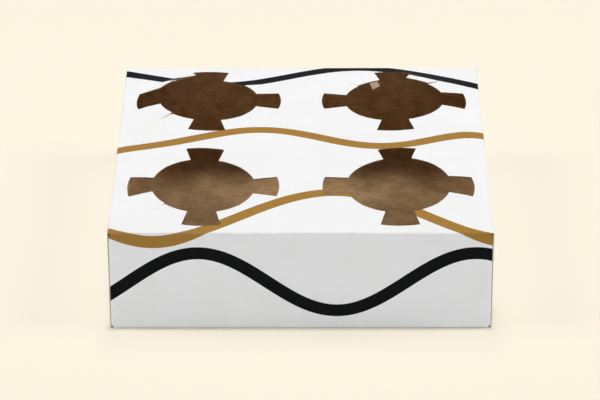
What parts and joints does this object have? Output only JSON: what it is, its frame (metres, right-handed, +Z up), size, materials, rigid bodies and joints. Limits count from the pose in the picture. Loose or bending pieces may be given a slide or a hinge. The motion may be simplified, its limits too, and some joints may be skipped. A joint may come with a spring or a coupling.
{
  "type": "cardboard cup carrier",
  "caption": "Flat folded cardboard carton whose top panel has die-cut openings with flared arms and slit fingers that hold takeaway cups upright.",
  "frame": {"origin": "middle of the underside, on the surface that the carton stands on", "axes": "+Z up, front panel faces -Y, +X to the right seen from the front"},
  "size_m": [0.21, 0.205, 0.0667],
  "materials": {
    "carton_board": "white clay-coated and printed outside, plain brown kraft inside, pale raw cut edges"
  },
  "bodies": {
    "root": {"carton": "carton_board"}
  },
  "joints": []
}
